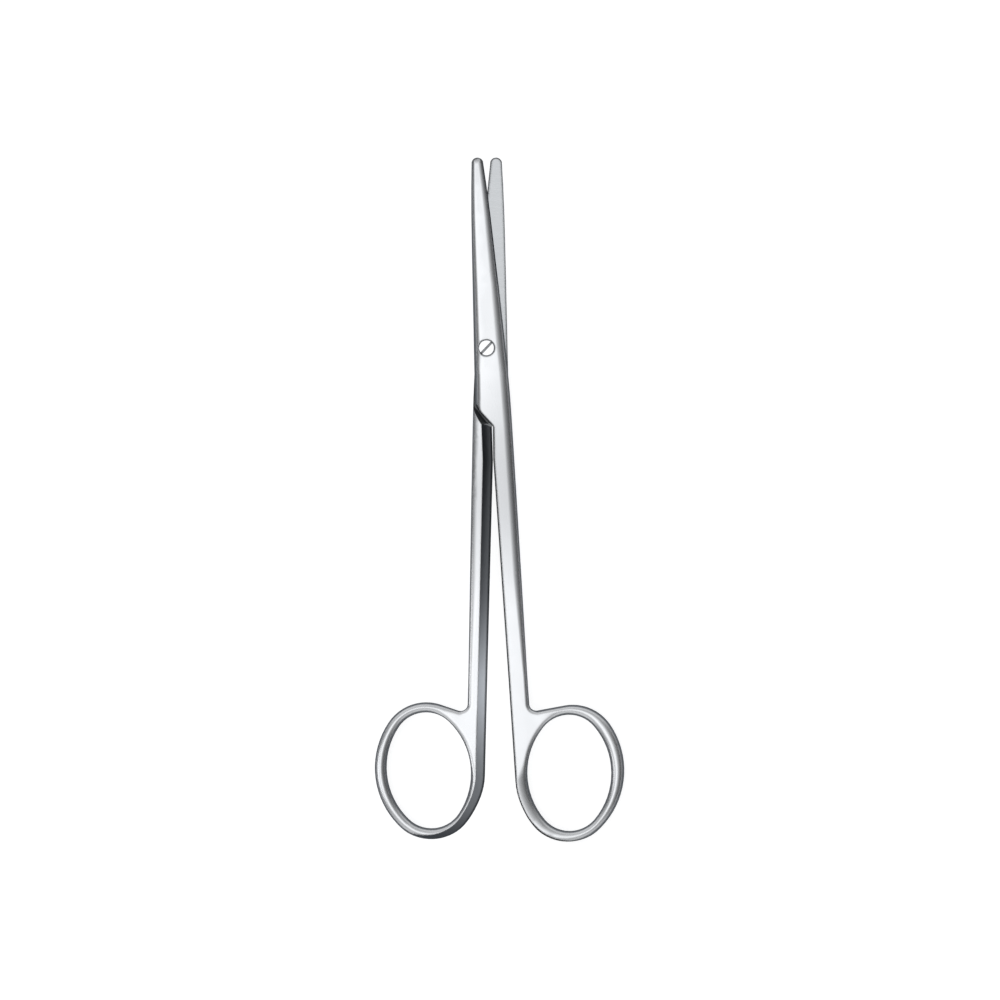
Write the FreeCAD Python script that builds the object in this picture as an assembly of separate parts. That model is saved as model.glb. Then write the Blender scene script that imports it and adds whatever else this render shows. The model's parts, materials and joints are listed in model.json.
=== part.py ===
import FreeCAD, Part
import math
import os
from FreeCAD import Vector

# Dissecting scissors: straight, blunt tips, lapped joint with one slotted screw. Millimetres.
# Both halves are one blank. It is drawn closed, on a middle line x = 0 and a parting plane z = 0, tips to +Y.
# The front half is that blank, and the rear half is the blank turned over about the middle line.
# The part's origin is on the screw axis, at the face that the scissors lie on.

# Joint
rest_opening = 5.2           # degrees between the halves as they lie, 0 is closed
screw_offset = 0.9           # screw axis to the middle line
joint_half_thickness = 1.72  # one half's thickness at the screw
parting_gap = 0.04           # between the flat inner faces
land_excess = 0.04           # crown height that is ground off to leave the flat land

# Blade
tip_reach = 40.4             # screw axis to tip
tip_width = 2.55
tip_half_thickness = 0.85
tip_dome_length = 1.3        # the blunt tip's rounding, seen from the side
nose_reach = 31.0            # where the narrow nose begins
nose_width = 3.9
joint_width = 6.75           # across the blade at the screw
blade_middle = -0.2          # middle of the blade from the middle line
taper_blend = 0.35           # how softly two tapers run together
edge_land = 0.4             # height of the ground edge beside the parting plane
edge_lean = 0.1              # how far that ground edge leans in
edge_ground_length = 27.0    # ground edge, back from the tip
back_land = 0.35             # upright stretch of the back
back_rounding = 1.35         # width of the rounding along the back at the joint
edge_rounding = 2.0          # width of the rounding along the cutting side at the joint

# Shank
shank_outer_top = 3.5        # middle line to the shank's outer side, level with the shoulder
shank_outer_bottom = 3.1     # the same where the shank meets the ring
ring_section_start = 0.7     # share of the shank's length where its rounding begins to become the ring's
facet_lean = 32.5           # degrees that the slanted inner facet leans from upright
facet_gap = 0.04             # between the two facets when closed

# Shoulder, where the full thickness begins
notch_depth = 16.75          # screw axis to the inner corner of the notch
notch_inset = 0.65           # that corner from the middle line
shoulder_angle = 51.0        # degrees of the diagonal from square across
shoulder_gap = 0.4           # between the shoulder and the other half's end when closed
relief_length = 7.0          # the corner's relief, along the shank

# Finger ring
ring_half_thickness = 1.5
rim_long = 14.56             # half the rim's long axis
rim_short = 11.42
hole_long = 12.33            # half the finger hole's long axis
hole_short = 8.9
oval_blend = 50.0            # degrees from an oval's long axis at which its end arc runs into its side arc
ring_edge_radius = 0.95
crotch_depth = 77.7          # screw axis to the corner between shank and ring
crotch_radius = 1.5
head_length = 7.7            # from that corner up to where the shank has the ring's section
facet_fade = 232.0           # degrees round the rim from its top where the ground facet runs out
facet_settle = 0.24          # share of its way round the rim in which it leaves the shank's line
facet_exit = 0.15            # how far the facet's edge lies outside the rim where it runs out
grind_stock = 1.6            # how far the forging stands out where the facet is ground

# Each half's ring was set by hand, so the two sit a little differently. A rim's middle is given from the
# middle line and the level of the crotch, and a hole's middle from its rim's.
front_ring = {"rim": (10.8, -13.55), "rim_lean": 9.8, "hole": (-0.2, 0.1), "hole_lean": 3.2}
rear_ring = {"rim": (11.0, -12.3), "rim_lean": 7.5, "hole": (0.0, 0.1), "hole_lean": 7.6}

# Screw
neck_radius = 1.0
neck_clearance = 0.04
thread_clearance = 0.01
head_radius = 1.68
head_rim = 0.3               # upright rim of the head
head_clearance = 0.05
seat_clearance = 0.04        # under the head's cone
edge_break = 0.12            # chamfer on the head and round its seat
slot_width = 0.5
slot_depth = 0.5
slot_angle = 45.0
tail_recess = 0.05           # screw's end below the rear face

# Working values
crown = joint_half_thickness + land_excess
facet_slope = math.tan(math.radians(facet_lean))
shank_end = crotch_depth - head_length
far = 4 * crotch_depth       # side of a cutting block, more than twice the whole length
overcut = 0.4                # how far a cutting block stands past the ring's faces
grind_sections = 9
grind_crowding = 1.5         # above 1 the sections of the ring's grinding stand closer where it starts
rounding_arcs = 3            # arcs that make up the rounding of a ring's edge
blend_rows = (-8.0, -3.0, 3.0, 8.0)   # sections of the bar before and after two tapers run together
least_row_gap = 1.0          # two sections of the bar nearer than this are one
same_place = 0.001           # two places nearer than this are one


def soft_min(first, second, blend):
    """The smaller of two values, with the corner between them rounded."""
    return 0.5 * (first + second - math.hypot(first - second, blend))


def slide(start, end, share):
    return start + (end - start) * min(1.0, max(0.0, share))


def blade_width(y):
    nose_slope = (nose_width - tip_width) / (tip_reach - tip_width / 2 - nose_reach)
    blade_slope = (joint_width - nose_width) / nose_reach
    nose = nose_width + (nose_reach - y) * nose_slope
    blade = nose_width + (nose_reach - y) * blade_slope
    return soft_min(nose, blade, taper_blend)


def back_side(y):
    return blade_middle - blade_width(max(y, -notch_depth)) / 2


def shank_side(y):
    along = (-y - notch_depth) / (shank_end - notch_depth)
    return shank_outer_top + (shank_outer_bottom - shank_outer_top) * along


def outer_side(y):
    return soft_min(blade_middle + blade_width(y) / 2, shank_side(y), taper_blend)


def half_thickness(y):
    """Thickness from the parting plane to the outer face, with the crown at the joint ground flat."""
    blade = crown + (tip_half_thickness - crown) * y / tip_reach
    shank = crown + (ring_half_thickness - crown) * (-y) / shank_end
    return min(blade, shank, joint_half_thickness)


def corner_arc(start, corner, end, turn=90.0):
    """An arc that leaves start and reaches end along the two sides of the corner and turns by some degrees.

    Where the sides differ in length it is a stretch of an ellipse.
    """
    curve = Part.BezierCurve()
    curve.setPoles([start, corner, end])
    curve.setWeight(2, math.cos(math.radians(turn / 2)))
    return curve.toShape()


def bar_section(y):
    """Section of the blank across the middle line, the same above and below the parting plane."""
    left = back_side(y)
    right = outer_side(y)
    top = half_thickness(y)
    scale = top / joint_half_thickness
    toward_ring = (-y / shank_end - ring_section_start) / (1 - ring_section_start)
    back_width = back_rounding * scale
    edge_width = slide(edge_rounding * scale, ring_edge_radius, toward_ring)
    edge_wall = slide(edge_land, ring_half_thickness - ring_edge_radius, toward_ring)
    ground = slide(0.0, edge_lean, (y - tip_reach + edge_ground_length) / tip_width)
    side = right - ground

    def up(x, z):
        return Vector(x, y, z)

    def down(x, z):
        return Vector(x, y, -z)

    upper = [
        Part.makeLine(up(right, 0), up(side, edge_wall)),
        corner_arc(up(side, edge_wall), up(side, top), up(side - edge_width, top)),
        Part.makeLine(up(side - edge_width, top), up(left + back_width, top)),
        corner_arc(up(left + back_width, top), up(left, top), up(left, back_land)),
    ]
    lower = [
        Part.makeLine(up(left, back_land), down(left, back_land)),
        corner_arc(down(left, back_land), down(left, top), down(left + back_width, top)),
        Part.makeLine(down(left + back_width, top), down(side - edge_width, top)),
        corner_arc(down(side - edge_width, top), down(side, top), down(side, edge_wall)),
        Part.makeLine(down(side, edge_wall), up(right, 0)),
    ]
    return Part.Wire(upper + lower)


def shank_meeting():
    """Where the outer side of the tapering blade runs into the shank's, below the screw."""
    low, high = -notch_depth, tip_reach
    while high - low > same_place:
        y = (low + high) / 2
        if blade_middle + blade_width(y) / 2 > shank_side(y):
            low = y
        else:
            high = y
    return low


def bar_rows():
    """Places of the bar's sections: its ends, each change of its shape, and round each blend of two tapers."""
    top = tip_reach + tip_dome_length
    ground_start = tip_reach - edge_ground_length
    land_top = tip_reach * land_excess / (crown - tip_half_thickness)
    land_bottom = -shank_end * land_excess / (crown - ring_half_thickness)
    ring_section = -ring_section_start * shank_end
    rows = [ground_start + tip_width, ground_start, land_top, land_bottom, -notch_depth, ring_section]
    rows += [(ring_section - notch_depth) / 2, (ring_section - shank_end) / 2]
    rows += [nose_reach + step for step in blend_rows]
    rows += [shank_meeting() + step for step in blend_rows]
    kept = [top]
    for y in sorted(rows, reverse=True):
        if kept[-1] - y > least_row_gap and y + shank_end > least_row_gap:
            kept.append(y)
    return kept + [-shank_end]


def make_bar():
    """Blade, joint and shank as one tapering bar with rounded sides, a little longer than the tip."""
    return Part.makeLoft([bar_section(y) for y in bar_rows()], True, True)


def half_space(point, direction):
    """A large block whose one face passes through point, on the side that direction gives."""
    block = Part.makeBox(far, far, far, Vector(-far / 2, -far / 2, 0))
    block.Placement = FreeCAD.Placement(point, FreeCAD.Rotation(Vector(0, 0, 1), direction))
    return block


def round_tip(body):
    """Blunt tip: half round in plan, domed from the side."""
    radius = tip_width / 2
    centre_y = tip_reach - radius
    past = Part.makeBox(far, far, far, Vector(-far / 2, centre_y, -far / 2))
    disc = Part.makeCylinder(radius, far, Vector(blade_middle, centre_y, -far / 2))
    body = body.cut(past.cut(disc))
    dome_start = tip_reach - tip_dome_length
    top = half_thickness(dome_start)
    low = Vector(-far / 2, tip_reach, edge_land)
    high = Vector(-far / 2, dome_start, top)
    outline = [
        corner_arc(low, Vector(-far / 2, tip_reach, top), high),
        Part.makeLine(high, Vector(-far / 2, dome_start, far)),
        Part.makeLine(Vector(-far / 2, dome_start, far), Vector(-far / 2, far, far)),
        Part.makeLine(Vector(-far / 2, far, far), Vector(-far / 2, far, edge_land)),
        Part.makeLine(Vector(-far / 2, far, edge_land), low),
    ]
    return body.cut(Part.Face(Part.Wire(outline)).extrude(Vector(far, 0, 0)))


def direction(angle):
    """Unit vector at an angle in degrees, anticlockwise from +X."""
    return Vector(math.cos(math.radians(angle)), math.sin(math.radians(angle)), 0)


def oval(middle, long_half, short_half, lean):
    """Four arcs that run into each other, as (centre, radius, start, end) with the directions that they face.

    The long axis leans to the right. The first arc faces up, and the rest follow anticlockwise.
    """
    blend = math.radians(oval_blend)
    spread = (long_half - short_half) / (math.cos(blend) + math.sin(blend) - 1)
    end_radius = long_half - spread * math.cos(blend)
    arcs = []
    for quarter in range(4):
        facing = 90 - lean + 90 * quarter
        at_end = quarter % 2 == 0
        radius = end_radius if at_end else end_radius + spread
        reach = long_half if at_end else short_half
        half_turn = oval_blend if at_end else 90 - oval_blend
        centre = middle + direction(facing) * (reach - radius)
        arcs.append((centre, radius, facing - half_turn, facing + half_turn))
    return arcs


def rim_of(ring):
    return oval(rim_middle(ring), rim_long, rim_short, ring["rim_lean"])


def rim_middle(ring):
    return Vector(ring["rim"][0], ring["rim"][1] - crotch_depth, 0)


def hole_of(ring):
    middle = rim_middle(ring) + Vector(ring["hole"][0], ring["hole"][1], 0)
    return oval(middle, hole_long, hole_short, ring["hole_lean"])


def fade_angle(ring):
    """Direction that the rim faces where the ground facet has run out."""
    return 90 - ring["rim_lean"] + facet_fade


def on_oval(arcs, angle):
    """The point where an oval faces an angle."""
    for centre, radius, start, end in arcs:
        if (angle - start) % 360 <= end - start:
            return centre + direction(angle) * radius


def stretch(arcs, start, end):
    """The arcs of an oval from one direction to another, anticlockwise."""
    found = []
    for turn in (0, 360):
        for centre, radius, low, high in arcs:
            low, high = max(start, low + turn), min(end, high + turn)
            if high > low:
                found.append((centre, radius, low, high))
    return found


def arc_edge(arc):
    centre, radius, start, end = arc
    points = [centre + direction(angle) * radius for angle in (start, (start + end) / 2, end)]
    return Part.Arc(*points).toShape()


def touch_angle(arcs, point):
    """Direction that an oval faces where the line from a point up to its left touches it near its top."""
    for centre, radius, start, end in arcs:
        away = point - centre
        bearing = math.degrees(math.atan2(away.y, away.x) - math.acos(min(1.0, radius / away.Length)))
        if (bearing - start) % 360 <= end - start:
            return bearing


def rounding_section(place, out, side):
    """Section of what rounding takes off an edge; out points away from the metal, side is 1 above, -1 below."""
    def point(across, height):
        return place + out * across + Vector(0, 0, side * (ring_half_thickness + height))

    def round_point(angle, reach):
        turn = math.radians(angle)
        return point(reach * math.sin(turn) - ring_edge_radius, reach * math.cos(turn) - ring_edge_radius)

    step = 90.0 / rounding_arcs
    corner_reach = ring_edge_radius / math.cos(math.radians(step / 2))
    outline = []
    for i in range(rounding_arcs):
        first, last = [round_point(step * (i + end), ring_edge_radius) for end in (0, 1)]
        outline.append(corner_arc(first, round_point(step * (i + 0.5), corner_reach), last, step))
    block = [point(0, -ring_edge_radius), point(overcut, -ring_edge_radius), point(overcut, overcut)]
    block += [point(-ring_edge_radius, overcut), point(-ring_edge_radius, 0)]
    outline += [Part.makeLine(first, second) for first, second in zip(block, block[1:])]
    return Part.Face(Part.Wire(outline))


def round_arc(arc, hollow):
    """What rounding takes off along an arc, above and below; hollow where the metal is outside the arc."""
    centre, radius, start, end = arc
    facing = direction(start)
    out = facing * -1 if hollow else facing
    sections = [rounding_section(centre + facing * radius, out, side) for side in (1, -1)]
    return [section.revolve(centre, Vector(0, 0, 1), end - start) for section in sections]


def round_line(start, end, out):
    return [rounding_section(start, out, side).extrude(end - start) for side in (1, -1)]


def make_ring_head(ring):
    """Finger ring, its web and the end of the shank, before the facet is ground."""
    rim = rim_of(ring)
    hole = hole_of(ring)
    start = Vector(outer_side(-shank_end), -shank_end, 0)
    corner = Vector(start.x, -crotch_depth, 0)
    touch = touch_angle(rim, corner)
    web = direction(touch - 90)
    half_angle = math.radians(180 - touch) / 2
    reach = crotch_radius / math.tan(half_angle)
    crotch = (corner + Vector(crotch_radius, reach, 0), crotch_radius, 180, 180 + touch)
    arc_start = corner + Vector(0, reach, 0)
    arc_end = corner + web * reach
    web_end = on_oval(rim, touch)

    # The stock left for grinding is the rim enlarged about the point where the facet fades out.
    fade = fade_angle(ring)
    fade_point = on_oval(rim, fade)
    growth = 1 + grind_stock / (fade_point.x - on_oval(rim, 180).x)
    middle = fade_point + (rim_middle(ring) - fade_point) * growth
    stock = oval(middle, growth * rim_long, growth * rim_short, ring["rim_lean"])
    stock_left = on_oval(stock, 180)
    stock_top = Vector(stock_left.x, -shank_end, 0)

    arcs = stretch(stock, 180, fade) + stretch(rim, fade, touch + 360)
    outline = [
        Part.makeLine(start, arc_start),
        arc_edge(crotch),
        Part.makeLine(arc_end, web_end),
        Part.makeLine(stock_left, stock_top),
        Part.makeLine(stock_top, start),
    ]
    outline += [arc_edge(arc) for arc in arcs]
    head = slab(outline, ring_half_thickness)
    head = head.cut(slab([arc_edge(arc) for arc in hole], far))

    off = round_line(start, arc_start, Vector(1, 0, 0)) + round_arc(crotch, True)
    off += round_line(arc_end, web_end, direction(touch))
    for arc in arcs:
        off += round_arc(arc, False)
    for arc in hole:
        off += round_arc(arc, True)
    return head.cut(off)


def slab(outline, half_height):
    """A flat outline made solid, the same above and below the parting plane."""
    face = Part.Face(Part.Wire(Part.__sortEdges__(outline)))
    face.translate(Vector(0, 0, -half_height))
    return face.extrude(Vector(0, 0, 2 * half_height))


def ring_grind(ring):
    """The block that grinding takes off the ring: the facet follows the rim and fades out at the bottom."""
    rim = rim_of(ring)
    fade = fade_angle(ring)
    facet_width = 2 * ring_half_thickness * facet_slope
    straight_x = facet_gap / 2 - ring_half_thickness * facet_slope
    step_out = on_oval(rim, 180).x - straight_x
    outside = 2 * grind_stock
    top = ring_half_thickness + overcut
    sections = []
    for i in range(grind_sections):
        share = (i / (grind_sections - 1)) ** grind_crowding
        angle = 180 + (fade - 180) * share
        strength = math.cos(share * math.pi / 2)
        settle = (1 + math.cos(math.pi * min(1.0, share / facet_settle))) / 2
        normal = direction(angle)
        edge = on_oval(rim, angle) + normal * (step_out * settle + facet_exit * (1 - strength))
        width = facet_width * strength
        spill = width * overcut / (2 * ring_half_thickness)
        corners = [
            edge + normal * spill + Vector(0, 0, top),
            edge + normal * outside + Vector(0, 0, top),
            edge + normal * outside - Vector(0, 0, top),
            edge - normal * (width + spill) - Vector(0, 0, top),
        ]
        sections.append(Part.makePolygon(corners + corners[:1]))
    return Part.makeLoft(sections, True, False)


def make_half(ring):
    """One half in the closed position, as the front half."""
    bar = round_tip(make_bar())
    body = bar.fuse(make_ring_head(ring)).removeSplitter()

    # Slanted inner facet of the shank, down to the ring's leftmost point.
    ring_level = on_oval(rim_of(ring), 180).y
    above_ring = half_space(Vector(0, ring_level, 0), Vector(0, 1, 0))
    facet = half_space(Vector(facet_gap / 2, 0, 0), Vector(-1, 0, -facet_slope)).common(above_ring)

    # The lap's end: a diagonal that overhangs the other half's shoulder, with its inner corner relieved.
    diagonal = math.radians(shoulder_angle)
    corner_top = half_thickness(-notch_depth)
    corner = Vector(-notch_inset, -notch_depth, corner_top)
    below = Vector(-math.sin(diagonal), -math.cos(diagonal), -facet_slope)
    lap_end = half_space(corner, below)
    facet_edge = facet_gap / 2 - facet_slope * corner_top
    turn = math.atan2(-notch_inset - facet_edge, relief_length)
    relief = half_space(corner, Vector(-math.cos(turn), math.sin(turn), -facet_slope))
    body = body.cut(facet.common(lap_end))
    body = body.cut(relief.common(lap_end).common(above_ring))

    # The other side of the parting plane: nothing above the shoulder, and the same facet below it.
    under = half_space(Vector(0, 0, parting_gap / 2), Vector(0, 0, -1))
    shoulder_corner = Vector(notch_inset, -notch_depth, -corner_top)
    above = Vector(-math.sin(diagonal), math.cos(diagonal), 0)
    slant = Vector(above.x, above.y, -facet_slope)
    shoulder = half_space(shoulder_corner - above * shoulder_gap, slant)
    body = body.cut(shoulder.common(under))
    body = body.cut(facet.common(under))
    body = body.cut(ring_grind(ring))
    return body


def seat_cutter(screw_x):
    """Space for the screw in the front half: bore, cone and a broken edge."""
    top = joint_half_thickness
    reach = head_radius + head_clearance
    bore = neck_radius + neck_clearance
    cone_top = top - head_rim
    drop = reach - bore
    outline = [
        (0, -far),
        (bore, -far),
        (bore, cone_top - drop - seat_clearance),
        (reach, cone_top - seat_clearance),
        (reach, top - edge_break),
        (reach + edge_break, top),
        (reach + edge_break, far),
        (0, far),
    ]
    return turned(outline, screw_x)


def turned(outline, x):
    """A solid of revolution about an upright axis at x, from radius and height pairs."""
    points = [Vector(radius, 0, height) for radius, height in outline]
    face = Part.Face(Part.makePolygon(points + points[:1]))
    solid = face.revolve(Vector(0, 0, 0), Vector(0, 0, 1), 360)
    solid.translate(Vector(x, 0, 0))
    return solid


def make_screw():
    """Slotted countersunk screw: flush head, plain neck and a threaded end that fills the rear half."""
    top = joint_half_thickness
    cone_top = top - head_rim
    outline = [
        (0, tail_recess - joint_half_thickness),
        (neck_radius, tail_recess - joint_half_thickness),
        (neck_radius, cone_top - (head_radius - neck_radius)),
        (head_radius, cone_top),
        (head_radius, top - edge_break),
        (head_radius - edge_break, top),
        (0, top),
    ]
    screw = turned(outline, 0)
    slot = Part.makeBox(far, slot_width, slot_depth, Vector(-far / 2, -slot_width / 2, top - slot_depth))
    slot.rotate(Vector(0, 0, 0), Vector(0, 0, 1), slot_angle)
    return screw.cut(slot)


def place(shape, turn_over, opening):
    """Moves a closed-position shape into the part's frame and opens it about the screw."""
    if turn_over:
        shape.rotate(Vector(0, 0, 0), Vector(0, 1, 0), 180)
    shape.translate(Vector(screw_offset, 0, joint_half_thickness))
    shape.rotate(Vector(0, 0, 0), Vector(0, 0, 1), opening)
    return shape


def solid_of(shape):
    solids = shape.Solids
    if len(solids) != 1:
        raise ValueError("expected one solid, found %d" % len(solids))
    return solids[0]


def main():
    front = make_half(front_ring).cut(seat_cutter(-screw_offset))
    rear = make_half(rear_ring)
    tapped = Part.makeCylinder(neck_radius + thread_clearance, far, Vector(screw_offset, 0, -far / 2))
    rear = rear.cut(tapped)
    screw = make_screw()
    screw.translate(Vector(0, 0, joint_half_thickness))
    nodes = {
        "front_half": place(front, False, rest_opening / 2),
        "rear_half": place(rear, True, -rest_opening / 2),
        "pivot_screw": screw,
    }
    os.makedirs("parts", exist_ok=True)
    for name, shape in nodes.items():
        solid = solid_of(shape)
        solid.exportStep(os.path.join("parts", name + ".step"))
        print(name, "valid", solid.isValid(), "volume %.1f mm3" % solid.Volume, "faces", len(solid.Faces))


main()
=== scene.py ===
import bmesh
import bpy
import json
import math
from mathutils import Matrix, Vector


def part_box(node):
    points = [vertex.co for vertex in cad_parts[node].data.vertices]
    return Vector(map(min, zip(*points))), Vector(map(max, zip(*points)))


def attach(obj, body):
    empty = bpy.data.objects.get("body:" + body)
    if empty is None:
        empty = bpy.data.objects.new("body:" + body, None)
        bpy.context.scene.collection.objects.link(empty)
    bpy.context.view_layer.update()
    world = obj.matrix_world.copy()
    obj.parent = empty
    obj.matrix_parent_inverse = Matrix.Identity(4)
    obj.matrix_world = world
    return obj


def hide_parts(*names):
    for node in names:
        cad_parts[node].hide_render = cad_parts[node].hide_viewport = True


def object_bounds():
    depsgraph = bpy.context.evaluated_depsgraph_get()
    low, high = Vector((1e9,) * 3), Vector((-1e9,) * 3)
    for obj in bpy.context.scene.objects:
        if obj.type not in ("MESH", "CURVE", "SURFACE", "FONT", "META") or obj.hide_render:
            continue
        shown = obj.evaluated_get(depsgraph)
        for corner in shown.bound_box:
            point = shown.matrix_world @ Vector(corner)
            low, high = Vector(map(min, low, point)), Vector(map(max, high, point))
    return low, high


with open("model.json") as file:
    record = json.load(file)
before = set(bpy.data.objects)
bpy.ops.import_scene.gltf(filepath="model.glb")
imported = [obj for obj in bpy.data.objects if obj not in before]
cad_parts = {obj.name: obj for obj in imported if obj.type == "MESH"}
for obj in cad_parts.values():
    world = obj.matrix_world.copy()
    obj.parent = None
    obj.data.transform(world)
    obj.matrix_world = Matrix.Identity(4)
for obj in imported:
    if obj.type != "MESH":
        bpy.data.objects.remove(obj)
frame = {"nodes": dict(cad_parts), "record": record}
cadLow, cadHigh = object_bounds()
record = frame["record"]
mm = 0.001

# Dissecting scissors lying on a pale table, seen from straight above: two forged halves and the screw that
# joins them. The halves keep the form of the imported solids. Here they get their finishes, face by face, and
# the screw gets its thread.


def linear(hexColour):  # sRGB hex to the linear colour that shaders use
    values = [int(hexColour[i:i + 2], 16) / 255 for i in (1, 3, 5)]
    return [v / 12.92 if v <= 0.04045 else ((v + 0.055) / 1.055) ** 2.4 for v in values] + [1.0]


# Adds a node. Settings are its own fields. Inputs are values or sockets, given by the input's name (_ for a
# space) or by its number (i0 for the first).
def addNode(tree, kind, settings=None, **inputs):
    node = tree.nodes.new(kind)
    for key, value in (settings or {}).items():
        setattr(node, key, value)
    for key, value in inputs.items():
        socket = node.inputs[int(key[1:]) if key[0] == "i" and key[1:].isdigit() else key.replace("_", " ")]
        if isinstance(value, bpy.types.NodeSocket):
            tree.links.new(value, socket)
        else:
            socket.default_value = value
    return node


def newMaterial(name):
    material = bpy.data.materials.new(name)
    material.use_nodes = True
    material.node_tree.nodes.clear()
    return material, material.node_tree


def calculate(tree, operation, first, second=0.0, third=0.0):
    return addNode(tree, "ShaderNodeMath", {"operation": operation}, i0=first, i1=second, i2=third).outputs[0]


# A value that follows another from one pair of ends to the other
def spread(tree, value, found, wanted):
    return addNode(tree, "ShaderNodeMapRange", None, Value=value, From_Min=found[0], From_Max=found[1],
                   To_Min=wanted[0], To_Max=wanted[1]).outputs[0]


# A share that eases from 0 where the value is at the start to 1 where it is full, in either direction
def softShare(tree, value, start, full):
    return addNode(tree, "ShaderNodeMapRange", {"interpolation_type": "SMOOTHSTEP"}, Value=value,
                   From_Min=min(start, full), From_Max=max(start, full), To_Min=float(start > full),
                   To_Max=float(start < full)).outputs[0]


def mixValues(tree, share, first, second):
    return addNode(tree, "ShaderNodeMix", {"data_type": "FLOAT"}, Factor=share, A=first,
                   B=second).outputs["Result"]


def mixColours(tree, share, first, second):
    return addNode(tree, "ShaderNodeMix", {"data_type": "RGBA"}, Factor=share, i6=first, i7=second).outputs[2]


def noise(tree, place, scale, detail):
    return addNode(tree, "ShaderNodeTexNoise", None, Vector=place, Scale=scale, Detail=detail).outputs["Fac"]


# The three parts of a place, and its distance from the upright axis
def splitPlace(tree, place):
    parts = addNode(tree, "ShaderNodeSeparateXYZ", None, Vector=place).outputs
    flat = addNode(tree, "ShaderNodeCombineXYZ", None, X=parts["X"], Y=parts["Y"]).outputs[0]
    reach = addNode(tree, "ShaderNodeVectorMath", {"operation": "LENGTH"}, i0=flat).outputs["Value"]
    return parts, reach


# A value read off a line of (place, level) stops
def alongStops(tree, value, stops):
    first, last = stops[0][0], stops[-1][0]
    share = addNode(tree, "ShaderNodeMapRange", None, Value=value, From_Min=first, From_Max=last)
    ramp = addNode(tree, "ShaderNodeValToRGB", None, Fac=share.outputs[0])
    ramp.color_ramp.interpolation = "B_SPLINE"
    marks = ramp.color_ramp.elements
    for i, (place, level) in enumerate(stops):
        position = (place - first) / (last - first)
        mark = marks[i] if i < 2 else marks.new(position)
        mark.position = position
        mark.color = (level, level, level, 1)
    return ramp.outputs["Color"]


# The same along the length of the scissors, with stops in mm from the screw
def alongLength(tree, place, stops):
    length = addNode(tree, "ShaderNodeSeparateXYZ", None, Vector=place).outputs["Y"]
    return alongStops(tree, calculate(tree, "DIVIDE", length, mm), stops)


# A colour at a level, with the faint contrast of the marks on it
def markedColour(tree, colour, level, marks, contrast, gain=1.0):
    flecks = calculate(tree, "MULTIPLY_ADD", calculate(tree, "SUBTRACT", marks, 0.5), contrast, gain)
    bright = addNode(tree, "ShaderNodeVectorMath", {"operation": "SCALE"}, i0=level, Scale=flecks).outputs[0]
    return addNode(tree, "ShaderNodeVectorMath", {"operation": "MULTIPLY"}, i0=bright,
                   i1=linear(colour)[:3]).outputs[0]


# The normal of a surface with broken edges and fine marks: heights in mm, reach in metres
def wornNormal(tree, marks, height, reach, samples):
    soft = addNode(tree, "ShaderNodeBevel", {"samples": samples}, Radius=reach)
    return addNode(tree, "ShaderNodeBump", None, Height=marks, Strength=1.0, Distance=height * mm,
                   Normal=soft.outputs[0]).outputs[0]


def finishMaterial(tree, colour, roughness, normal, edgeTint=(1, 1, 1, 1), metallic=1.0):
    steel = addNode(tree, "ShaderNodeBsdfPrincipled", None, Base_Color=colour, Metallic=metallic,
                    Roughness=roughness, Specular_Tint=edgeTint, Specular_IOR_Level=0.0, Normal=normal)
    out = addNode(tree, "ShaderNodeOutputMaterial")
    tree.links.new(steel.outputs[0], out.inputs["Surface"])


# Painted shade: a dark line painted into the colour beside a drop, where steel would mirror its own dark side.
paintedDropShade = {
    "colour": "#242629",
    "metallic": 0.35,
    "level": (0.4, 0.6),      # upward part of the normal where faces begin to take the line, and where fully
    "reach": 1.2,             # mm, reach of the softening that finds where a face drops away
    "turn": (0.92, 0.8),      # share of the own normal's rise where the line begins, and where it is full
}


# Paints that dark line over a colour as painted shade. It is found from how much less upright the
# softened normal is than the face's own. The metallic value that goes with it comes back too.
def paintShadeBesideDrop(tree, colour):
    soft = addNode(tree, "ShaderNodeBevel", {"samples": 8}, Radius=paintedDropShade["reach"] * mm).outputs[0]
    own = addNode(tree, "ShaderNodeNewGeometry").outputs["Normal"]
    softRise, ownRise = [
        addNode(tree, "ShaderNodeSeparateXYZ", None, Vector=normal).outputs["Z"] for normal in (soft, own)
    ]
    turned = softShare(tree, calculate(tree, "DIVIDE", softRise, ownRise), *paintedDropShade["turn"])
    level = softShare(tree, calculate(tree, "ABSOLUTE", ownRise), *paintedDropShade["level"])
    dropShade = calculate(tree, "MULTIPLY", turned, level)
    shadedColour = mixColours(tree, dropShade, colour, linear(paintedDropShade["colour"]))
    return shadedColour, calculate(tree, "MULTIPLY_ADD", dropShade, paintedDropShade["metallic"] - 1, 1.0)


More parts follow.
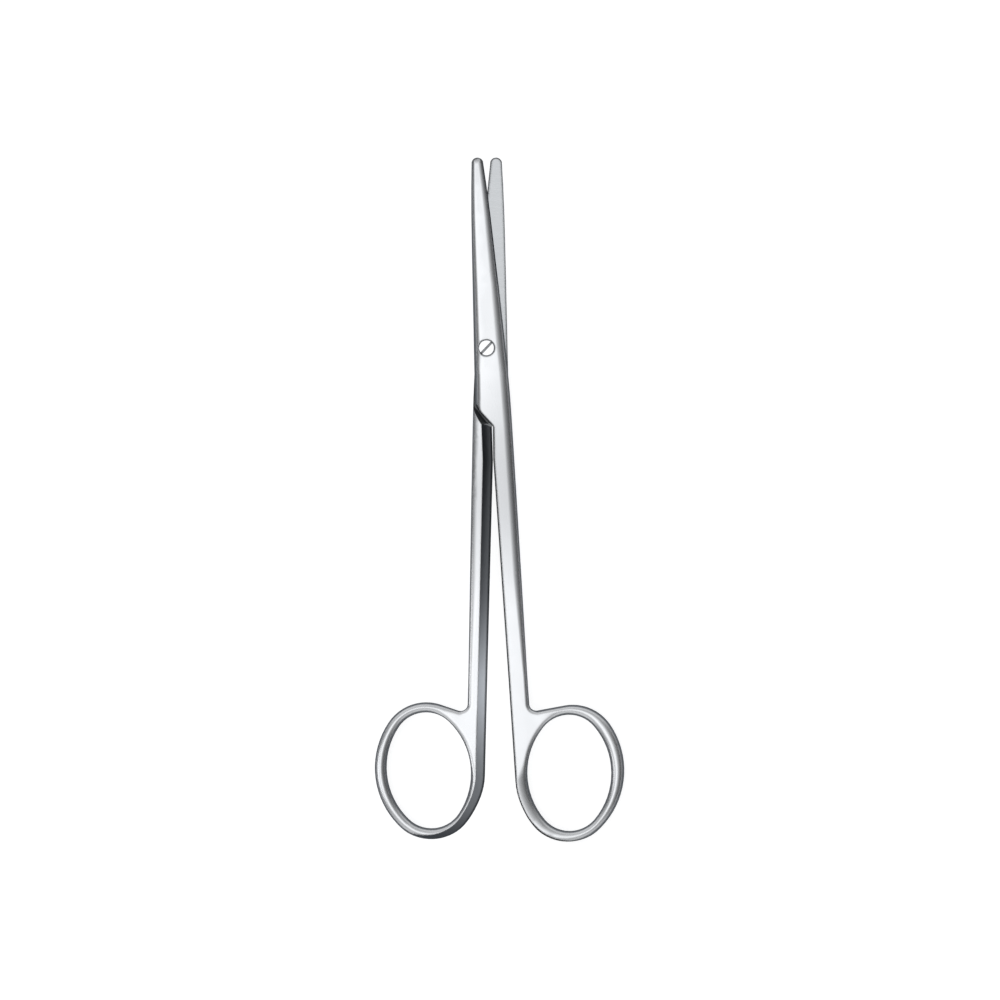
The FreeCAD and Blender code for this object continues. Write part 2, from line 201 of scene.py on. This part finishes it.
# Forged stainless steel, ground lengthwise and satin polished: soft broad reflections with faint streaks.
satin = {
    "colour": "#E4E6E9",
    "shadedSideColour": "#7A7D81",      # the upright sides keep the coarse grinding belt's matt finish, made darker with painted shade and painted shade darkens what they reflect at a flat angle
    "shadedSideEdgeTint": "#1A1B1D",    # and its grooves swallow what light comes in at a flat angle
    "matteAndShadedSideStart": (0.82, 0.6),     # upward part of the normal where that begins, and where it is full
    "sideRoughness": 0.46,
    "roughness": (0.22, 0.29),
    "streakWidth": 0.16,          # mm; real belt lines are about 0.05 mm, drawn coarser so that they show
    "streakLength": 7.0,          # mm
    "streakHeight": 0.0011,       # mm
    "streakContrast": 0.12,
    "clouding": 3.5,              # mm, faint cloudy areas that hand polishing leaves
    "cloudShare": 0.5,            # how much they count beside the streaks
    "cloudRange": (0.4, 1.1),     # ends of the two together
    "edgeBreak": 0.25,            # mm, how softly the polishing has broken the edges
    "ringBreak": 0.6,             # mm, the same on the rings, which are polished round
    "ringRadius": 12.2,           # mm, middle of the ring's metal
    "ringStreaks": (1.4, 1.2),    # shares of it where streaks begin to turn with the ring, and where fully
    # painted light and shade along the length: how bright the colour is made, by mm from the screw
    "paintedLightAlongLength": ((-106, 0.95), (-90, 0.97), (-76, 1.03), (-62, 1.06), (-52, 0.98), (-42, 0.83), (-34, 0.74),
               (-24, 0.74), (-16, 0.84), (-6, 0.98), (12, 1.06), (26, 1.06), (34, 0.97), (42, 0.88)),
}


# Faint lines that follow the length of a half and turn to follow its finger ring
def beltStreaks(tree, place, half):
    across, along = 1 / (satin["streakWidth"] * mm), 1 / (satin["streakLength"] * mm)
    turned = addNode(tree, "ShaderNodeMapping", None, Vector=place,
                     Rotation=(0, 0, math.radians(half["lean"])), Scale=(across, along, across))
    straight = noise(tree, turned.outputs[0], 1.0, 3.0)
    fromRing = addNode(tree, "ShaderNodeVectorMath", {"operation": "SUBTRACT"}, i0=place,
                       i1=(*half["ringCentre"], 0))
    parts, radius = splitPlace(tree, fromRing.outputs[0])
    bearing = calculate(tree, "ARCTAN2", parts["Y"], calculate(tree, "MULTIPLY", parts["X"], half["side"]))
    ringRadius = satin["ringRadius"] * mm
    coiled = addNode(tree, "ShaderNodeCombineXYZ", None, X=calculate(tree, "MULTIPLY", radius, across),
                     Y=calculate(tree, "MULTIPLY", bearing, ringRadius * along),
                     Z=calculate(tree, "MULTIPLY", parts["Z"], across))
    aroundRing = noise(tree, coiled.outputs[0], 1.0, 3.0)
    onRing = softShare(tree, radius, *[share * ringRadius for share in satin["ringStreaks"]])
    return mixValues(tree, onRing, straight, aroundRing), onRing


def makeSatinSteel(name, half):
    material, tree = newMaterial(name)
    coordinates = addNode(tree, "ShaderNodeTexCoord").outputs
    place = coordinates["Object"]
    streaks, onRing = beltStreaks(tree, place, half)
    rise = addNode(tree, "ShaderNodeSeparateXYZ", None, Vector=coordinates["Normal"]).outputs["Z"]
    # Upright sides: a rougher matt finish, with painted shade in their colour and edge tint
    side = softShare(tree, calculate(tree, "ABSOLUTE", rise), *satin["matteAndShadedSideStart"])
    clouds = noise(tree, place, 1 / (satin["clouding"] * mm), 4.0)
    cloudy = calculate(tree, "MULTIPLY_ADD", clouds, satin["cloudShare"], streaks)
    polished = spread(tree, cloudy, satin["cloudRange"], satin["roughness"])
    roughness = mixValues(tree, side, polished, satin["sideRoughness"])
    # painted light and shade along the length
    level = alongLength(tree, place, satin["paintedLightAlongLength"])
    top = markedColour(tree, satin["colour"], level, streaks, satin["streakContrast"])
    plain = mixColours(tree, side, top, linear(satin["shadedSideColour"]))
    # painted shade: the dark line beside each drop
    colour, metallic = paintShadeBesideDrop(tree, plain)
    reach = calculate(tree, "MULTIPLY_ADD", onRing, (satin["ringBreak"] - satin["edgeBreak"]) * mm,
                      satin["edgeBreak"] * mm)
    normal = wornNormal(tree, streaks, satin["streakHeight"], reach, 8)
    # painted shade on the sides' reflections at a flat angle
    edgeTint = mixColours(tree, side, (1, 1, 1, 1), linear(satin["shadedSideEdgeTint"]))
    finishMaterial(tree, colour, roughness, normal, edgeTint, metallic)
    return material


# Faces that are ground and left so: the slanted inner sides of the shanks and the flat inner faces of the
# lap. Duller and darker than the polished outside, with the wheel's lines across them.
ground = {
    "edgeTint": "#9FA1A4",
    "lineWidth": 0.14,           # mm; real wheel lines are about 0.04 mm, drawn coarser so that they show
    "lineLength": 2.6,           # mm
    "lineHeight": 0.0014,        # mm
    "lineContrast": 0.25,
    "lineRange": (0.3, 0.7),     # ends of the lines' pattern that the roughness follows
    "edgeBreak": 0.1,            # mm
    "gain": 2.0,                 # levels go up to this, and are divided by it while they are read
}
# Their own colours and roughness, and painted light and shade along the length, by mm from the screw
groundFacet = {
    "colour": "#8E9195",
    "roughness": (0.29, 0.39),
    # painted light and shade: dark near the shoulder and at the ring end, bright about 71 mm from the screw
    "paintedShadeLevels": ((-106, 0.25), (-102, 0.3), (-98, 0.55), (-91, 0.8), (-85, 1.05), (-78, 1.6), (-71, 2.0),
               (-65, 1.35), (-59, 0.9), (-52, 0.55), (-42, 0.45), (-30, 0.4), (-16, 0.38)),
}
groundInner = {
    "colour": "#C2C5C8",
    "roughness": (0.25, 0.35),
    # painted shadow: dark from 26 to 8 mm behind the screw, near the shoulder between the shanks
    "paintedShadeLevels": ((-26, 0.16), (-15, 0.16), (-8, 0.18), (-4, 0.5), (1, 0.96), (12, 1.0), (42, 1.0)),
}


def makeGroundSteel(name, finish, lean):
    material, tree = newMaterial(name)
    place = addNode(tree, "ShaderNodeTexCoord").outputs["Object"]
    across, along = 1 / (ground["lineWidth"] * mm), 1 / (ground["lineLength"] * mm)
    turned = addNode(tree, "ShaderNodeMapping", None, Vector=place, Rotation=(0, 0, math.radians(lean)),
                     Scale=(along, across, along))
    lines = noise(tree, turned.outputs[0], 1.0, 2.0)
    gain = ground["gain"]
    # painted light and shade along the length
    level = alongLength(tree, place, [(mark, level / gain) for mark, level in finish["paintedShadeLevels"]])
    plain = markedColour(tree, finish["colour"], level, lines, ground["lineContrast"] * gain, gain)
    # painted shade: the dark line beside each drop
    colour, metallic = paintShadeBesideDrop(tree, plain)
    roughness = spread(tree, lines, ground["lineRange"], finish["roughness"])
    normal = wornNormal(tree, lines, ground["lineHeight"], ground["edgeBreak"] * mm, 6)
    finishMaterial(tree, colour, roughness, normal, linear(ground["edgeTint"]), metallic)
    return material


# Milled and drilled faces: the shoulder, the screw's seat and slot. Left as cut, so they look dark and matt.
milled = {"colour": "#A6A8AB", "roughness": (0.42, 0.58), "grain": 0.08, "grainHeight": 0.002}   # grain in mm


def makeMilledSteel():
    material, tree = newMaterial("milledSteel")
    place = addNode(tree, "ShaderNodeTexCoord").outputs["Object"]
    marks = noise(tree, place, 1 / (milled["grain"] * mm), 2.0)
    roughness = spread(tree, marks, (0, 1), milled["roughness"])
    bump = addNode(tree, "ShaderNodeBump", None, Height=marks, Strength=1.0,
                   Distance=milled["grainHeight"] * mm)
    finishMaterial(tree, linear(milled["colour"]), roughness, bump.outputs[0])
    return material


# Screw head faced on a lathe and polished: bright, with faint rings about its middle. Rings and edges in mm.
turnedFinish = {
    "colour": "#ECEDEF", "roughness": (0.19, 0.29), "ringWidth": 0.12, "ringHeight": 0.0012, "edgeBreak": 0.07,
}


def makeTurnedSteel():
    material, tree = newMaterial("turnedSteel")
    radius = splitPlace(tree, addNode(tree, "ShaderNodeTexCoord").outputs["Object"])[1]
    rings = addNode(tree, "ShaderNodeTexNoise", {"noise_dimensions": "1D"}, W=radius,
                    Scale=1 / (turnedFinish["ringWidth"] * mm), Detail=2.0).outputs["Fac"]
    roughness = spread(tree, rings, (0, 1), turnedFinish["roughness"])
    normal = wornNormal(tree, rings, turnedFinish["ringHeight"], turnedFinish["edgeBreak"] * mm, 6)
    finishMaterial(tree, linear(turnedFinish["colour"]), roughness, normal)
    return material


# Halves
partingHeight = record["behaviour"]["joints"][0]["pos_m"][2]   # the two flat inner faces meet here
holeBoxes = {opening["name"]: opening["box_m"] for opening in record["physics"]["openings"]}


def holeCentre(name):
    low, high = holeBoxes[name]
    return ((low[0] + high[0]) / 2, (low[1] + high[1]) / 2)


# Side is the ring's side of the middle line, and lean the shank's turn from it in degrees.
halves = {
    "front_half": {"piece": "frontHalf", "side": 1, "lean": -2.6, "ringCentre": holeCentre("front_finger_hole")},
    "rear_half": {"piece": "rearHalf", "side": -1, "lean": 2.6, "ringCentre": holeCentre("rear_finger_hole")},
}
faceRules = {
    "facetTilt": (0.1, 0.62),      # upward part of the normal on the slanted inner face, which fades on the ring
    "facetSide": 0.75,             # least sideways part on the straight stretch where the search starts
    "facetClear": 16.0,            # mm from the ring's middle to that stretch
    "sameFace": 14.0,              # degrees between neighbours on one ground face
    "ringReach": 6.5,              # mm past the ring's middle where the ground face has run out
    "shoulder": (-24.0, -11.0),    # mm along the length where the lap ends
    "shoulderSlope": (0.3, 0.25),  # least lengthwise and upward parts of the normal on its milled faces
    "seatRadius": 1.86,            # mm
    "seatTilt": 0.9,               # most upward part of the normal in the screw's seat
    "innerDepth": 0.06,            # mm that an inner face may lie off the parting height
    "innerTilt": 0.95,             # least upward part of its normal
    "sharp": 28.0,                 # degrees
    "weld": 0.001,                 # mm between points that are one
    "sliver": 0.0001,              # mm, shortest edge that is kept
}
satinFace, facetFace, innerFace, milledFace = range(4)


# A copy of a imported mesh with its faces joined, smooth over tangent faces and sharp at real edges
def weldedShape(node):
    shape = bmesh.new()
    shape.from_mesh(frame["nodes"][node].data)
    bmesh.ops.remove_doubles(shape, verts=shape.verts, dist=faceRules["weld"] * mm)
    bmesh.ops.dissolve_degenerate(shape, edges=shape.edges, dist=faceRules["sliver"] * mm)
    sharp = math.radians(faceRules["sharp"])
    for edge in shape.edges:
        edge.smooth = len(edge.link_faces) == 2 and edge.calc_face_angle(0) < sharp
    for face in shape.faces:
        face.smooth = True
    shape.normal_update()
    return shape


# The slanted ground face of a half: every face that its straight part reaches without crossing an edge
def facetFaces(shape, half):
    low, high = faceRules["facetTilt"]
    side, up = half["side"], -half["side"]
    limit = half["ringCentre"][0] + side * faceRules["ringReach"] * mm
    shankStart = half["ringCentre"][1] + faceRules["facetClear"] * mm
    shankEnd = faceRules["shoulder"][0] * mm

    def fits(face):
        inside = (face.calc_center_median().x - limit) * side < 0
        return low < face.normal.z * up < high and inside

    def straight(face):
        onShank = shankStart < face.calc_center_median().y < shankEnd
        return onShank and fits(face) and face.normal.x * -side > faceRules["facetSide"]

    found = {face for face in shape.faces if straight(face)}
    border = list(found)
    while border:
        face = border.pop()
        for other in [other for edge in face.edges for other in edge.link_faces]:
            if other in found or not fits(other):
                continue
            if other.normal.angle(face.normal, 0) < math.radians(faceRules["sameFace"]):
                found.add(other)
                border.append(other)
    return found


def markFaces(shape, half):
    facets = facetFaces(shape, half)
    start, end = [mark * mm for mark in faceRules["shoulder"]]
    leastAlong, leastUp = faceRules["shoulderSlope"]
    seatRadius, innerDepth = faceRules["seatRadius"] * mm, faceRules["innerDepth"] * mm
    for face in shape.faces:
        middle = face.calc_center_median()
        along, up = abs(face.normal.y), abs(face.normal.z)
        if math.hypot(middle.x, middle.y) < seatRadius and up < faceRules["seatTilt"]:
            face.material_index = milledFace
        elif face in facets:
            face.material_index = facetFace
        elif start < middle.y < end and along > leastAlong and up > leastUp:
            face.material_index = milledFace
        elif abs(middle.z - partingHeight) < innerDepth and up > faceRules["innerTilt"]:
            face.material_index = innerFace
        else:
            face.material_index = satinFace


# How hand polishing has shaped the rounded edges: the crown that it leaves on the flats beside them, in
# degrees, and a power that makes the rounding start early (below 1) or late (above 1)
polishing = {
    "ring": (14.0, 0.92),
    "ringSlant": 7.0,                 # degrees more crown on the rings' right-hand sides, and less on the left
    "right": (0.8, 0.97),
    "left": (0.6, 0.75),
    "rearShank": (0.0, 1.4),
    "web": (6.0, -82.0, 5.5, 10.0),   # mm, flat place where the shank widens into the ring, and its radii
    "ringEnd": (15.5, 18.0),          # mm from the ring's middle
    "least": 0.02,                    # least sideways and upward parts of a normal that is shaped
}


def softStep(value, start, end):
    share = min(max((value - start) / (end - start), 0), 1)
    return share * share * (3 - 2 * share)


def polishedNormal(point, normal, lean, half):
    x, y = point.x / mm, point.y / mm
    ringX, ringY = [value / mm for value in half["ringCentre"]]
    webX, webY, webStart, webEnd = polishing["web"]
    onRing = 1 - softStep(math.hypot(x - ringX, y - ringY), *polishing["ringEnd"])
    onRing *= softStep(math.hypot(x - webX * half["side"], y - webY), webStart, webEnd)
    if half["side"] < 0 and y < faceRules["shoulder"][1] and lean.x < 0:
        plain = polishing["rearShank"]
    else:
        plain = polishing["right" if lean.x > 0 else "left"]
    crown, power = [a + (b - a) * onRing for a, b in zip(plain, polishing["ring"])]
    crown += polishing["ringSlant"] * onRing * lean.normalized().x
    tilt = math.degrees(math.acos(min(abs(normal.z), 1)))
    turned = math.radians(crown + (90 - crown) * (tilt / 90) ** power)
    flat = Vector((lean.x, lean.y, 0)).normalized() * math.sin(turned)
    return Vector((flat.x, flat.y, math.copysign(math.cos(turned), normal.z)))


# The faces round a point, in groups that real edges part
def smoothFans(vertex):
    left = set(vertex.link_faces)
    while left:
        fan, border = [], [left.pop()]
        while border:
            face = border.pop()
            fan.append(face)
            for edge in vertex.link_edges:
                if not edge.smooth or face not in edge.link_faces:
                    continue
                for other in edge.link_faces:
                    if other in left:
                        left.remove(other)
                        border.append(other)
        yield fan


# Normals for the corners of all faces: evened over tangent faces, by area, and shaped by the polishing
def cornerNormals(shape, half):
    corners = {}
    for vertex in shape.verts:
        for fan in smoothFans(vertex):
            normal = sum((face.normal * face.calc_area() for face in fan), Vector()).normalized()
            lean = sum((face.normal for face in fan), Vector())
            lean.z = 0
            satinFan = half and all(face.material_index == satinFace for face in fan)
            if satinFan and min(lean.length, abs(normal.z)) > polishing["least"]:
                normal = polishedNormal(vertex.co, normal, lean, half)
            for face in fan:
                corners[face.index, vertex.index] = normal
    return corners


def addPiece(shape, name, materials, half=None):
    shape.verts.index_update()
    shape.faces.index_update()
    shape.normal_update()
    corners = cornerNormals(shape, half)
    mesh = bpy.data.meshes.new(name)
    shape.to_mesh(mesh)
    shape.free()
    for material in materials:
        mesh.materials.append(material)
    mesh.normals_split_custom_set([
        corners[face.index, mesh.loops[corner].vertex_index]
        for face in mesh.polygons for corner in face.loop_indices
    ])
    piece = bpy.data.objects.new(name, mesh)
    bpy.context.scene.collection.objects.link(piece)
    return piece


bodyOf = {node: body for body, nodes in record["behaviour"]["bodies"].items() for node in nodes}
milledSteel = makeMilledSteel()
for node, half in halves.items():
    shape = weldedShape(node)
    markFaces(shape, half)
    tag = half["piece"]
    piece = addPiece(shape, tag, [
        makeSatinSteel("satinSteel_" + tag, half),
        makeGroundSteel("groundFacet_" + tag, groundFacet, half["lean"]),
        makeGroundSteel("groundInner_" + tag, groundInner, half["lean"]),
        milledSteel,
    ], half)
    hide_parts(node)
    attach(piece, bodyOf[node])
print("halves ready")

# Screw, in mm and degrees
screw = {
    "slotWidth": 0.5,
    "slotDepth": 0.5,
    "slotAngle": 45.0,
    "slotSlack": 0.01,      # room for rounding where the slot's faces are found
    "shankRadius": 1.0,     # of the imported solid, which stands in for the thread
    "threadTop": 1.62,      # above the table
    "threadStart": 0.12,
    "cutSlack": 0.001,
    "coreRadius": 0.84,
    "crestRadius": 0.99,
    "pitch": 0.4,
    "ridgeWidth": 0.34,
    "ridgeFlat": 0.07,
    "ridgeRoot": 0.02,      # how far the ridge's foot sinks into the core
    "pointsPerTurn": 48,
}


def moved(tree, geometry, **change):
    return addNode(tree, "GeometryNodeTransform", None, Geometry=geometry, **change).outputs[0]


# A ridge that winds up the screw: a helix with a narrow flat-topped section swept along it
def makeThreadTree(material):
    tree = bpy.data.node_groups.new("screwThread", "GeometryNodeTree")
    wanted = ("Core Radius", "Crest Radius", "Pitch", "Turns", "Ridge Width", "Ridge Flat", "Start Height")
    for name in wanted:
        tree.interface.new_socket(name, in_out="INPUT", socket_type="NodeSocketFloat")
    tree.interface.new_socket("Points Per Turn", in_out="INPUT", socket_type="NodeSocketInt")
    tree.interface.new_socket("Geometry", in_out="OUTPUT", socket_type="NodeSocketGeometry")
    given = addNode(tree, "NodeGroupInput").outputs
    height = calculate(tree, "MULTIPLY", given["Pitch"], given["Turns"])
    helix = addNode(tree, "GeometryNodeCurveSpiral", None, Resolution=given["Points Per Turn"],
                    Rotations=given["Turns"], Start_Radius=given["Core Radius"],
                    End_Radius=given["Core Radius"], Height=height)
    level = addNode(tree, "GeometryNodeSetCurveNormal", {"mode": "Z_UP"}, Curve=helix.outputs[0])
    rise = calculate(tree, "SUBTRACT", given["Crest Radius"], given["Core Radius"])
    section = addNode(tree, "GeometryNodeCurvePrimitiveQuadrilateral", {"mode": "TRAPEZOID"}, Height=rise,
                      Bottom_Width=given["Ridge Width"], Top_Width=given["Ridge Flat"], Offset=0.0)
    shift = addNode(tree, "ShaderNodeCombineXYZ", None, Y=calculate(tree, "DIVIDE", rise, 2.0))
    seated = moved(tree, section.outputs[0], Translation=shift.outputs[0])
    turned = moved(tree, seated, Rotation=(0, 0, math.radians(90)))
    swept = addNode(tree, "GeometryNodeCurveToMesh", None, Curve=level.outputs[0], Profile_Curve=turned,
                    Fill_Caps=True)
    lift = addNode(tree, "ShaderNodeCombineXYZ", None, Z=given["Start Height"])
    lifted = moved(tree, swept.outputs[0], Translation=lift.outputs[0])
    real = addNode(tree, "GeometryNodeRealizeInstances", None, Geometry=lifted)
    finished = addNode(tree, "GeometryNodeSetMaterial", None, Geometry=real.outputs[0], Material=material)
    addNode(tree, "NodeGroupOutput", None, Geometry=finished.outputs[0])
    return tree


def makeThread(material):
    tree = makeThreadTree(material)
    holder = bpy.data.objects.new("threadHolder", bpy.data.meshes.new("threadHolder"))
    bpy.context.scene.collection.objects.link(holder)
    wind = holder.modifiers.new("wind", "NODES")
    wind.node_group = tree
    sizes = {
        "Core Radius": (screw["coreRadius"] - screw["ridgeRoot"]) * mm,
        "Crest Radius": screw["crestRadius"] * mm,
        "Pitch": screw["pitch"] * mm,
        "Turns": (screw["threadTop"] - screw["threadStart"]) / screw["pitch"] - 1,
        "Ridge Width": screw["ridgeWidth"] * mm,
        "Ridge Flat": screw["ridgeFlat"] * mm,
        "Points Per Turn": screw["pointsPerTurn"],
        "Start Height": (screw["threadStart"] + screw["pitch"] / 2) * mm,
    }
    for item in tree.interface.items_tree:
        if item.in_out == "INPUT":
            wind[item.identifier] = sizes[item.name]
    solved = holder.evaluated_get(bpy.context.evaluated_depsgraph_get())
    mesh = bpy.data.meshes.new_from_object(solved)
    holder.modifiers.remove(wind)
    bpy.data.objects.remove(holder)
    return mesh


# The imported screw, cut where its thread ends and slimmed to the core below, with the thread wound on
def makeScrew():
    turnedSteel = makeTurnedSteel()
    shape = weldedShape("pivot_screw")
    threadTop = screw["threadTop"] * mm
    for height in (threadTop, partingHeight):
        everything = shape.verts[:] + shape.edges[:] + shape.faces[:]
        bmesh.ops.bisect_plane(shape, geom=everything, plane_co=(0, 0, height), plane_no=(0, 0, 1))
    slimmer = screw["coreRadius"] / screw["shankRadius"]
    for vertex in shape.verts:
        if vertex.co.z < threadTop + screw["cutSlack"] * mm:
            vertex.co.x *= slimmer
            vertex.co.y *= slimmer
    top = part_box("pivot_screw")[1].z
    slack = screw["slotSlack"] * mm
    slotAngle = math.radians(screw["slotAngle"])
    across = Vector((-math.sin(slotAngle), math.cos(slotAngle), 0))
    for face in shape.faces:
        middle = face.calc_center_median()
        inSlot = abs(middle.dot(across)) < screw["slotWidth"] / 2 * mm + slack
        below = top - screw["slotDepth"] * mm - slack < middle.z < top - slack
        face.material_index = 1 if inSlot and below else 0
    shape.from_mesh(makeThread(turnedSteel))
    return addPiece(shape, "pivotScrew", [turnedSteel, milledSteel])


pivotScrew = makeScrew()
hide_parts("pivot_screw")
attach(pivotScrew, bodyOf["pivot_screw"])
print("screw ready")

# Table, light and camera
studio = {
    "level": 1.52,           # brightness straight overhead
    "lean": 0.1,             # how far the brightest part leans to the left
    "narrow": (1.25, 0.7),   # how fast the light falls off to the sides and to the ends
    # brightness against distance from the brightest part
    "falloff": ((0.0, 1.0), (0.1, 0.96), (0.23, 0.75), (0.37, 0.54), (0.5, 0.39), (0.64, 0.27), (0.78, 0.18),
                (0.95, 0.11), (1.25, 0.06)),
    # a brighter band near the horizon, in front of the object and behind it: level, distance from straight
    # overhead where it begins and is full, and sideways share of the direction where it begins and is full
    "horizon": {"level": 0.34, "reach": (0.62, 0.95), "sides": (0.94, 0.68), "least": 0.001},
    "table": "#B9BABC",      # pale grey cloth, lit up to white
    "tableSize": 6.0,        # m
    "tableGlow": 0.79,
    "ringLamp": {"place": (-150, -95, 112), "aim": (0, -92, 0), "size": 105, "power": 0.03},   # mm and watts
}


def makeTable():
    mesh = bpy.data.meshes.new("table")
    half = studio["tableSize"] / 2
    corners = [(-half, -half, 0), (half, -half, 0), (half, half, 0), (-half, half, 0)]
    mesh.from_pydata(corners, [], [(0, 1, 2, 3)])
    table = bpy.data.objects.new("table", mesh)
    table.location.z = cadLow.z
    bpy.context.scene.collection.objects.link(table)
    material, tree = newMaterial("paleTable")
    paths = addNode(tree, "ShaderNodeLightPath").outputs
    seen = calculate(tree, "MAXIMUM", paths["Is Camera Ray"], paths["Is Glossy Ray"])
    seen = calculate(tree, "MAXIMUM", seen, paths["Is Transmission Ray"])
    diffuse = addNode(tree, "ShaderNodeBsdfDiffuse", None, Color=linear(studio["table"]))
    glow = addNode(tree, "ShaderNodeEmission", None,
                   Strength=calculate(tree, "MULTIPLY", seen, studio["tableGlow"]))
    both = addNode(tree, "ShaderNodeAddShader", None, i0=diffuse.outputs[0], i1=glow.outputs[0])
    out = addNode(tree, "ShaderNodeOutputMaterial")
    tree.links.new(both.outputs[0], out.inputs["Surface"])
    mesh.materials.append(material)


# How bright the band near the horizon is in a direction
def horizonGlow(tree, direction):
    horizon = studio["horizon"]
    parts, reach = splitPlace(tree, direction)
    sideways = calculate(tree, "DIVIDE", calculate(tree, "ABSOLUTE", parts["X"]),
                         calculate(tree, "MAXIMUM", reach, horizon["least"]))
    return calculate(tree, "MULTIPLY", softShare(tree, reach, *horizon["reach"]),
                     softShare(tree, sideways, *horizon["sides"]))


def makeWorld():
    world = bpy.data.worlds.new("studio")
    world.use_nodes = True
    tree = world.node_tree
    tree.nodes.clear()
    direction = addNode(tree, "ShaderNodeTexCoord").outputs["Generated"]
    shift = addNode(tree, "ShaderNodeVectorMath", {"operation": "ADD"}, i0=direction,
                    i1=(studio["lean"], 0, 0))
    across, along = studio["narrow"]
    scaled = addNode(tree, "ShaderNodeVectorMath", {"operation": "MULTIPLY"}, i0=shift.outputs["Vector"],
                     i1=(math.sqrt(across), math.sqrt(along), 0))
    away = addNode(tree, "ShaderNodeVectorMath", {"operation": "LENGTH"}, i0=scaled.outputs["Vector"])
    overhead = alongStops(tree, away.outputs["Value"], studio["falloff"])
    glow = calculate(tree, "MULTIPLY_ADD", horizonGlow(tree, direction), studio["horizon"]["level"], overhead)
    sky = addNode(tree, "ShaderNodeBackground", None, Color=glow, Strength=studio["level"])
    out = addNode(tree, "ShaderNodeOutputWorld")
    tree.links.new(sky.outputs[0], out.inputs["Surface"])
    bpy.context.scene.world = world


def makeLamp(name, settings):
    data = bpy.data.lights.new(name, "AREA")
    data.shape = "DISK"
    data.size = settings["size"] * mm
    data.energy = settings["power"]
    lamp = bpy.data.objects.new(name, data)
    lamp.location = Vector(settings["place"]) * mm
    away = lamp.location - Vector(settings["aim"]) * mm
    lamp.rotation_euler = away.to_track_quat("Z", "Y").to_euler()
    bpy.context.scene.collection.objects.link(lamp)


view = {"centre": (2.17, -32.34), "across": 212.17, "turn": -1.24, "height": 400.0}   # mm and degrees


def makeCamera():
    data = bpy.data.cameras.new("camera")
    data.type = "ORTHO"
    data.ortho_scale = view["across"] * mm
    camera = bpy.data.objects.new("camera", data)
    camera.location = Vector((*view["centre"], view["height"])) * mm
    camera.rotation_euler = (0, 0, math.radians(view["turn"]))
    bpy.context.scene.collection.objects.link(camera)
    bpy.context.scene.camera = camera


makeTable()
makeWorld()
makeLamp("ringLamp", studio["ringLamp"])
makeCamera()
bpy.context.scene.view_settings.view_transform = "Standard"
print("studio ready")
